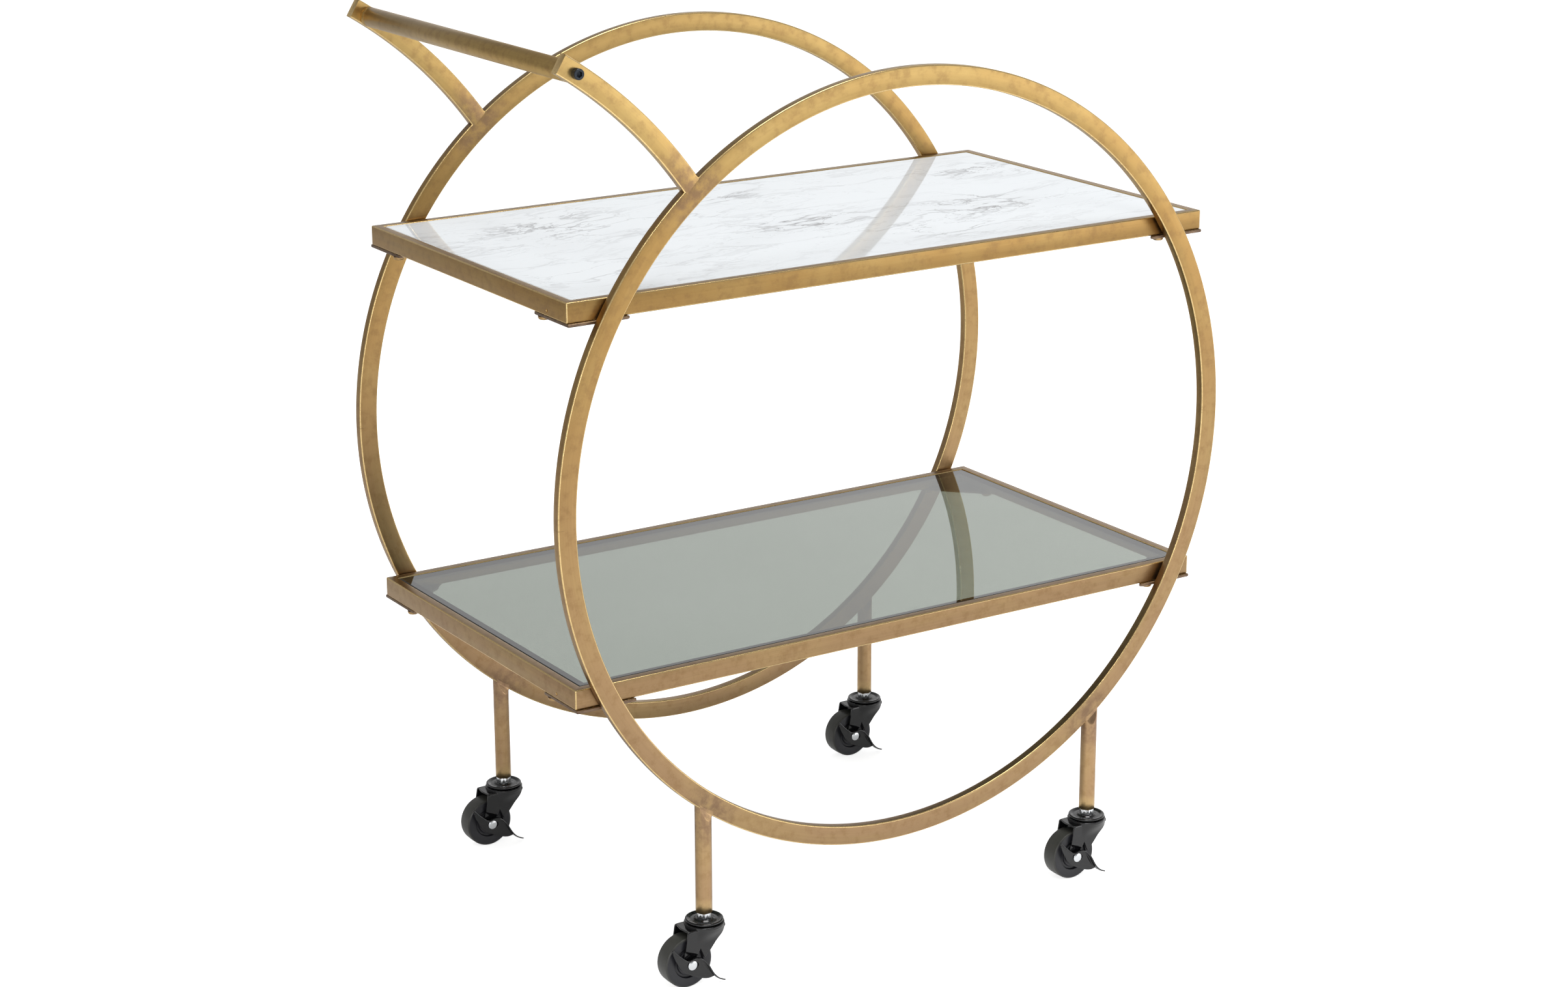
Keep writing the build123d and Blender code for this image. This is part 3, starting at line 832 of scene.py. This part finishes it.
def make_rivet():
    head, reach = LEVER_Y + LEVER_SHEET + 0.12, 5.0
    turns = [math.radians(a) for a in range(0, 90, 10)]
    dome = [(reach * math.cos(a), head + 0.9 + 1.5 * math.sin(a)) for a in turns]
    tail = [(0, -1.6), (3.2, -1.6), (4.2, -1.1), (4.4, -0.1), (3.0, 0.0)]
    outline = [(r, h - LUG_Y) for r, h in tail] + [(3.0, head), (4.7, head), (reach, head + 0.35)]
    return turned("rivet", outline + dome + [(0, head + 2.4)], zinc, AXLE, 64, 50)


def make_cup():
    outline = rounded([
        (4.05, 60.9, 0), (16.2, 60.9, 0.4), (17.4, 61.4, 0.5), (18.45, 62.2, 0.5), (18.3, 63.4, 0.7),
        (17.2, 64.0, 0.7), (15.9, 63.7, 0.6), (13.6, 62.5, 1.5), (10.2, 62.7, 1.0), (8.4, 64.0, 0.4),
        (4.05, 64.0, 0)], 5)
    return turned("cup", outline, lacquer, crease=60)


def hexagon_ring(height, cap, flat):
    """Points round a hexagon whose corners are turned off at a radius of cap."""
    ring, count = [], 48
    for i in range(count):
        a = math.tau * i / count
        reach = min(cap, flat / math.cos((a + math.pi / 6) % (math.pi / 3) - math.pi / 6))
        ring.append((reach * math.cos(a) * MM, reach * math.sin(a) * MM, height * MM))
    return ring


def hexagon(name, low, high):
    """A zinc hexagon with its corners turned off at both ends."""
    stack = [(low, 6.4), (low + 0.45, 7.6), (high - 0.55, 7.6), (high, 6.4)]
    return closed(lofted(name, [hexagon_ring(z, cap, NUT_FLAT) for z, cap in stack], zinc), 25)


def make_nut():
    """The stem's hexagon, the stem above it and the kingpin with its nut under the fork."""
    stem = turned("stem", [(0, 55.0), (STEM_RADIUS, 55.0), (STEM_RADIUS, 88.0), (0, 88.0)], zinc)
    under_leg = hexagon("hexagon", 64.0, LEG_BOTTOM / MM - 0.05)
    return joined("nut", under_leg, stem, hexagon("kingpin_nut", 54.1, 56.7))


# The lever seen from outside, from the axle: its top edge, and below each point its lower edge and the
# rim's width beyond the plate and lift at that point
LEVER_EDGES = [
    ((-20.6, 20.3), (-21.0, 17.9), 0.7, 0.0), ((-16.9, 16.0), (-20.0, 13.2), 1.2, 0.0),
    ((-13.2, 12.2), (-18.6, 9.5), 1.6, 0.0), ((-8.8, 8.2), (-15.5, 3.7), 2.0, 0.0),
    ((-5.9, 6.1), (-12.9, -1.2), 2.2, 0.0), ((-3.2, 5.5), (-9.7, -4.8), 2.2, 0.0),
    ((0.0, 6.3), (-5.0, -8.3), 2.3, 0.0), ((3.7, 7.1), (-0.5, -11.1), 2.6, 0.0),
    ((7.7, 6.2), (4.5, -13.7), 3.1, 0.0), ((11.0, 4.0), (9.5, -15.8), 3.5, 0.0),
    ((14.2, 0.5), (13.5, -17.2), 3.9, 0.0), ((16.7, -3.0), (17.2, -18.0), 4.2, 0.0),
    ((19.0, -7.5), (19.8, -18.1), 4.3, 0.1), ((21.5, -12.0), (22.0, -17.8), 4.4, 0.2),
    ((24.3, -15.9), (24.1, -17.6), 4.5, 0.4), ((27.0, -18.6), (26.3, -19.6), 4.6, 0.6),
    ((30.4, -21.0), (29.8, -22.0), 4.6, 0.9), ((34.3, -22.8), (33.9, -23.9), 3.6, 1.0),
]
LEVER_SLOT_END = (4.06, -1.09)
LEVER_SLOT_RADIUS = 3.1


def beside_axle(x, y, z):
    """A caster's point, in metres, from one in mm from the axle with y outwards."""
    return (x - WHEEL_TRAIL) * MM, -y * MM, (z + WHEEL_RADIUS) * MM


def make_lever():
    """The brake rocker: a cam plate with its top edge turned out, drawn out into a narrow pedal."""
    stations = through([(*top, *low, width, lift) for top, low, width, lift in LEVER_EDGES], 4)
    rim_rows, bend_rows, plate_rows = 5, 6, 8
    points, faces = [], []
    for i, (x, z, low_x, low_z, width, lift) in enumerate(stations):
        before, after = stations[max(i - 1, 0)], stations[min(i + 1, len(stations) - 1)]
        run = Vector((after[0] - before[0], after[1] - before[1])).normalized()
        edge, up = Vector((x, z)), Vector((-run.y, run.x))
        bend = min(LEVER_BEND, 0.7 * math.hypot(x - low_x, z - low_z))
        reach = min(LEVER_SHEET + width, LEVER_REACH)
        for k in range(rim_rows):
            share = 1 - k / rim_rows
            lifted = edge + up * (lift * share**1.5)
            points.append((lifted.x, bend + (reach - bend) * share, lifted.y))
        for k in range(bend_rows):
            a = math.radians(90 - 18 * k)
            turned_in = edge - up * bend * (1 - math.sin(a))
            points.append((turned_in.x, bend * (1 - math.cos(a)), turned_in.y))
        start = edge - up * bend
        for k in range(1, plate_rows + 1):
            here = start.lerp(Vector((low_x, low_z)), k / plate_rows)
            points.append((here.x, 0.0, here.y))
    count = rim_rows + bend_rows + plate_rows
    for i in range(len(stations) - 1):
        for j in range(count - 1):
            a = i * count + j
            faces.append((a, a + 1, a + count + 1, a + count))
    points = [beside_axle(x, y + LEVER_Y, z) for x, y, z in points]
    plate = faced(mesh_piece("lever", points, faces, lacquer), Vector((0, 1, 0)))
    applied(plate, ("SOLIDIFY", {"thickness": LEVER_SHEET * MM, "offset": -1.0}))
    closed(plate, 50)
    tilt = math.atan2(LEVER_SLOT_END[1], LEVER_SLOT_END[0])
    outline = []
    for (x, z), start in (((0.0, 0.0), 90), (LEVER_SLOT_END, -90)):
        for k in range(13):
            a = math.radians(start + 15 * k) + tilt
            outline.append((x + LEVER_SLOT_RADIUS * math.cos(a), z + LEVER_SLOT_RADIUS * math.sin(a)))
    rings = [[beside_axle(x, y, z) for x, z in outline] for y in (LEVER_Y - 1.1, LEVER_Y + 2.0)]
    cutter = closed(lofted("slot", rings, lacquer))
    applied(plate, ("BOOLEAN", {"operation": "DIFFERENCE", "object": cutter, "solver": "EXACT"}),
            ("BEVEL", {"width": 0.22 * MM, "segments": 2, "angle_limit": math.radians(55)}))
    bpy.data.objects.remove(cutter)
    return closed(plate, 50)


def place_caster(piece, name, side, end, body, slot, node=None, turn=0.0):
    """A copy of a caster's piece, put under one leg."""
    mesh = piece.data.copy()
    mesh.name = name
    place = Matrix.Translation((ENDS[end] * LEG_X, SIDES[side] * HOOP_Y, 0))
    mesh.transform(place @ Matrix.Rotation(math.radians(turn), 4, "Z"))
    return kept(in_scene(name, mesh), body, slot, *([node] if node else []))


# How far each stem's hexagon is turned, in degrees
NUT_TURNS = {"front_left": 28.0, "front_right": 33.0, "rear_left": 3.0, "rear_right": 12.0}


def casters():
    makers = (make_fork, make_wheel, make_rivet, make_lever, make_cup, make_nut)
    forms = fork, wheel, rivet, lever, cup, nut = [make() for make in makers]
    cups, nuts = [], []
    for side in SIDES:
        for end in ENDS:
            key = f"{side}_{end}"
            for piece, name, body, slot, node in (
                (fork, "pressed_fork", "swivel", "black_lacquer", "caster_fork"),
                (wheel, "moulded_wheel", "wheel", "grey_rubber", "caster_wheel"),
                (rivet, "axle_rivet", "swivel", "zinc_steel", "caster_axle"),
                (lever, "brake_rocker", "brake", "black_lacquer", "brake_lever"),
            ):
                place_caster(piece, f"{key}_{name}", side, end, f"{key}_{body}", slot, f"{key}_{node}")
            cups.append(place_caster(cup, f"{key}_race_cup", side, end, "cart", "black_lacquer"))
            nuts.append(place_caster(
                nut, f"{key}_stem_nut", side, end, "cart", "zinc_steel", turn=NUT_TURNS[key]))
    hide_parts("caster_race_cups")
    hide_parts("caster_stems")
    for piece in forms:
        bpy.data.objects.remove(piece)


# Frame

def make_leg(side, end):
    """A round leg, ground flat at its top to run into the flatter hoop, with a weld fillet inwards."""
    centre_x, centre_y = ENDS[end] * LEG_X, SIDES[side] * HOOP_Y
    half = TUBE_THICKNESS / 2 + 0.05 * MM
    turns = [math.tau * i / LEG_FACES for i in range(LEG_FACES)]
    reaches = [centre_x + LEG_RADIUS * math.cos(a) for a in turns]
    rims = [HOOP_CENTRE.z - math.sqrt(HOOP_RADIUS**2 - x * x) for x in reaches]
    rises = (
        -14.0, -11.0, -9.0, -8.0, -7.0, -6.0, -5.0, -4.0, -3.0, -2.2, -1.5, -1.0, -0.6, -0.3, 0.0, 0.8, 4.0)
    straight = min(rims) + rises[0] * MM - LEG_BOTTOM
    rows = [("foot", d) for d in (0.0, LEG_CHAMFER)]
    rows += [("foot", f * straight) for f in (0.2, 0.4, 0.6, 0.8)]
    rows += [("root", rise * MM) for rise in rises]
    sections, arris = [], []
    for kind, value in rows:
        ring = []
        for rim, a in zip(rims, turns):
            wide, deep = LEG_RADIUS * math.cos(a), LEG_RADIUS * math.sin(a)
            if kind == "foot":
                z = LEG_BOTTOM + value
                shrink = 1 - LEG_CHAMFER / LEG_RADIUS * (1 - min(1.0, value / LEG_CHAMFER))
                wide, deep = wide * shrink, deep * shrink
            else:
                z = rim + value
                fall = min(1.0, max(0.0, (value + LEG_GROUND) / LEG_GROUND))
                limit = LEG_RADIUS + (half - LEG_RADIUS) * fall
                deep = max(-limit, min(limit, deep))
                if value > -LEG_FILLET and wide * centre_x < 0:
                    gone = min(1.0, (value + LEG_FILLET) / LEG_FILLET)
                    spread = 1 - math.sqrt(max(0.0, 1 - gone * gone))
                    wide += math.copysign(LEG_FILLET * spread * abs(math.cos(a)) ** 1.5, wide)
            ring.append((centre_x + wide, centre_y + deep, z))
            # The foot's edge is marked as an arris: wear and a painted highlight round the foot
            arris.append(0.6 if (kind, value) in rows[:2] else 0.0)
        sections.append(ring)
    name = f"{side}_{end}_leg"
    leg = closed(lofted(name + "_tube", sections, leg_brass, arris), 50)
    kept(leg, "cart", "antique_brass", name)


def make_handle_bar():
    """The round grip, with a fine collar line turned near each end."""
    half = HOOP_Y / MM - TUBE_THICKNESS / MM / 2
    end = [
        (9.5, half - 7.2), (9.25, half - 6.9), (9.25, half - 6.5), (9.5, half - 6.2), (9.5, half - 0.4),
        (9.1, half)]
    outline = [(0.0, -half)] + [(r, -h) for r, h in reversed(end)] + end + [(0.0, half)]
    place = Matrix.Translation((SCREW_X, 0, SCREW_Z)) @ SIDEWAYS
    kept(turned("handle_grip", outline, bar_brass, place), "cart", "antique_brass", "handle_bar")


def make_cap_screws():
    """Two socket head cap screws against the outsides of the arms."""
    outer = HOOP_Y / MM + TUBE_THICKNESS / MM / 2
    # Each ring's height over the arm, and its radius and half width across flats
    steps = (
        (0.0, 5.0, 9.0), (5.5, 5.0, 9.0), (6.0, 4.6, 9.0), (6.0, 3.15, 9.0),
        (6.0, 2.95, 2.62), (5.8, 2.88, 2.5), (3.0, 2.88, 2.5), (2.4, 0.6, 2.5))
    screws = []
    for hand in (1, -1):
        rings = [hexagon_ring(outer + height, cap, flat) for height, cap, flat in steps]
        screw = closed(lofted("screw", rings, oxide), 30)
        turn = SIDEWAYS if hand > 0 else Matrix.Rotation(math.radians(-90), 4, "X")
        screw.data.transform(Matrix.Translation((SCREW_X, 0, SCREW_Z)) @ turn)
        screws.append(closed(screw, 30))
    kept(joined("handle_cap_screws", *screws), "cart", "black_oxide", "handle_screws")


def make_corner_plate(tray, side, end):
    """A triangular steel plate with broken edges under one tray corner."""
    toward_x, toward_y = -ENDS[end], -SIDES[side]
    x, y = ENDS[end] * TRAY_HALF_LENGTH, SIDES[side] * (HOOP_Y - TUBE_THICKNESS / 2)
    under = TRAY_TOPS[tray] - TUBE_DEPTH
    rings = []
    for inset, drop in ((0.5, 0.0), (0.0, 0.5), (0.0, 2.5), (0.5, 3.0)):
        i, far = inset * MM, PLATE_LEG - inset * MM * (1 + math.sqrt(2))
        corners = [(i, i), (far, i), (i, far)]
        outline = rounded([(u / MM, v / MM, r) for (u, v), r in zip(corners, (1.0, 2.0, 2.0))])
        rings.append([(x + toward_x * u * MM, y + toward_y * v * MM, under - drop * MM) for u, v in outline])
    # The top edge is marked as an arris: wear and a painted highlight along it
    arris = [1.0] * len(rings[0]) + [0.0] * (3 * len(rings[0]))
    name = f"{tray}_{side}_{end}_corner_plate"
    plate = closed(lofted(name + "_sheet", rings, plate_bronze, arris), 30)
    kept(plate, "cart", "dark_bronze", name)


def corner_screw_tree():
    """Pan head screws with a cross recess, hanging under the corners of a tray."""
    g, put = shape_tree(
        "corner_screws",
        {"Head Radius": float, "Head Height": float, "Recess Width": float, "Recess Length": float,
         "Along": float, "Across": float, "Inset": float, "Level": float,
         "Seed": int, "Finish": bpy.types.Material})
    ball = g.node("GeometryNodeMeshUVSphere", {}, {"Segments": 32, "Rings": 24, "Radius": 1.0})
    x, y, z = g.split(g.node("GeometryNodeInputPosition"))
    low = (0.0 - z).math("MAXIMUM", 0.0)
    dome = (1.0 - (1.0 - low) ** 2.6) * put["Head Height"]
    moved = g.vector(x * put["Head Radius"], y * put["Head Radius"], 0.0 - dome)
    head = g.node("GeometryNodeSetPosition", {}, {"Geometry": ball, "Position": moved})
    size = g.vector(put["Recess Length"], put["Recess Width"], put["Head Height"])
    for turn in (0.0, math.pi / 2):
        blade = g.node("GeometryNodeMeshCube", {}, {"Size": size})
        blade = g.node(
            "GeometryNodeTransform", {},
            {"Geometry": blade, "Translation": g.vector(0.0, 0.0, 0.0 - put["Head Height"]),
             "Rotation": (0.0, 0.0, turn)},
        )
        head = g.node(
            "GeometryNodeMeshBoolean", {"operation": "DIFFERENCE", "solver": "EXACT"}, {0: head, 1: blade})
    places = g.node("GeometryNodeJoinGeometry")
    for size_x, size_y in (
        (put["Along"] - put["Inset"], put["Across"]),
        (put["Along"], put["Across"] - put["Inset"]),
    ):
        sizes = {"Size X": size_x, "Size Y": size_y, "Vertices X": 2, "Vertices Y": 2}
        grid = g.node("GeometryNodeMeshGrid", {}, sizes)
        g.tree.links.new(grid.socket, places.socket.node.inputs[0])
    level = g.vector(0.0, 0.0, put["Level"])
    lowered = g.node("GeometryNodeSetPosition", {}, {"Geometry": places, "Offset": level})
    turns = {"Min": 0.0, "Max": math.pi, "Seed": put["Seed"]}
    turn = g.vector(0.0, 0.0, g.node("FunctionNodeRandomValue", {"data_type": "FLOAT"}, turns))
    heads = g.node(
        "GeometryNodeInstanceOnPoints", {}, {"Points": lowered, "Instance": head, "Rotation": turn})
    finish_tree(g, heads, put["Finish"])
    return g.tree


def corner_screws(tray):
    values = {
        "Head Radius": 5.5 * MM, "Head Height": 3.2 * MM, "Recess Width": 1.3 * MM, "Recess Length": 5.6 * MM,
        "Along": 710.5 * MM, "Across": 380.5 * MM, "Inset": 90.5 * MM,
        "Level": TRAY_TOPS[tray] - TUBE_DEPTH - PLATE_THICKNESS, "Seed": len(tray), "Finish": screw_brass,
    }
    screws = closed(grown(f"{tray}_corner_screws", corner_screw_tree(), values), 30)
    kept(screws, "cart", "dark_bronze")


for side in SIDES:
    for end in ENDS:
        make_leg(side, end)
        for tray in TRAY_TOPS:
            make_corner_plate(tray, side, end)
for tray in TRAY_TOPS:
    corner_screws(tray)
make_handle_bar()
make_cap_screws()
casters()


# Studio

# The way to the surround's bright side
BACKDROP_SIDE = (0.866, 0.5, 0.0)
# Each lamp's name, place, height that it aims at, size in metres and power in watts
LAMPS = (
    ("key_lamp", (3.1, -3.5, 0.62), 0.5, (3.0, 1.1), 29.0),
    ("fill_lamp", (-3.4, -1.6, 1.8), 0.3, (0.8, 0.8), 5.0),
    ("front_lamp", (-2.0, -3.1, 0.8), 0.3, (1.2, 1.2), 16.0),
    ("spark_lamp", (-1.1, -2.0, 2.5), 0.1, (0.45, 0.45), 9.0),
    ("top_lamp", (0.4, -0.8, 4.2), 0.5, (1.8, 1.8), 66.0),
)
WHITE = (1.0, 1.0, 1.0)


def seen_and_mirrored(g):
    """1 for what the camera sees, straight or through glass, and 1 for what a surface mirrors."""
    path = g.node("ShaderNodeLightPath")
    seen = path.of("Is Camera Ray").math("MAXIMUM", path.of("Is Transmission Ray"))
    return seen, path.of("Is Glossy Ray")


def studio():
    """A white floor, which glows brighter towards the front where surfaces mirror it, a white surround and
    soft lamps.
    """
    scene = bpy.context.scene
    scene.view_settings.view_transform = "Standard"
    world = bpy.data.worlds.new("studio")
    world.use_nodes = True
    world.node_tree.nodes.clear()
    scene.world = world
    g = Graph(world.node_tree)
    seen, mirrored = seen_and_mirrored(g)
    heading = g.node("ShaderNodeTexCoord").of("Generated")
    toward = g.node("ShaderNodeVectorMath", {"operation": "DOT_PRODUCT"}, {0: heading, 1: BACKDROP_SIDE})
    backdrop = toward.of("Value").step(0.5, 0.95) * 0.6 + 0.4
    level = seen + (1.0 - seen) * (mirrored * backdrop + (1.0 - mirrored) * 0.5)
    sky = g.node("ShaderNodeBackground", {}, {"Color": WHITE, "Strength": level})
    g.node("ShaderNodeOutputWorld", {}, {"Surface": sky})

    made, g = material("studio_floor")
    x, y, _ = g.split(g.place())
    seen, mirrored = seen_and_mirrored(g)
    grain = g.noise(g.place(), 3.0, 2.0, 0.5)
    diffuse = g.node("ShaderNodeBsdfDiffuse", {}, {"Color": g.shade((0.9, 0.9, 0.9), grain * 0.04 + 0.96)})
    # For mirrored rays the floor glows, brighter towards the front: painted light for the metal to mirror
    front = (x * 0.5 - y * 0.85).step(-0.8, 1.0)
    level = seen * 0.75 + mirrored * (front * 0.5 + 0.04)
    glow = g.node("ShaderNodeEmission", {}, {"Color": WHITE, "Strength": level})
    surface(g, g.node("ShaderNodeAddShader", {}, {0: diffuse, 1: glow}))
    floor = mesh_piece("studio_floor", [(-9, -9, 0), (9, -9, 0), (9, 9, 0), (-9, 9, 0)], [(0, 1, 2, 3)], made)

    for name, place, aim, size, power in LAMPS:
        lamp = bpy.data.lights.new(name, "AREA")
        lamp.shape, lamp.energy = "RECTANGLE", power
        lamp.size, lamp.size_y = size
        away = Vector(place) - Vector((0.0, 0.0, aim))
        turn = away.to_track_quat("Z", "Y").to_matrix().to_4x4()
        in_scene(name, lamp).matrix_world = Matrix.Translation(place) @ turn


def camera():
    """The camera of the photograph."""
    lens = bpy.data.cameras.new("photo_camera")
    lens.sensor_width, lens.lens = 36.0, 70.9636
    holder = in_scene("photo_camera", lens)
    right = Vector((0.83915402, -0.54388811, -0.00250201))
    down = Vector((-0.16076211, -0.24363673, -0.95645004))
    ahead = Vector((0.51959222, 0.80301113, -0.29188534))
    turn = Matrix((right, -down, -ahead)).transposed().to_4x4()
    holder.matrix_world = Matrix.Translation((-1.6289, -2.5052, 1.3062)) @ turn
    lens.clip_start, lens.clip_end = 0.05, 60.0
    bpy.context.scene.camera = holder


studio()
camera()
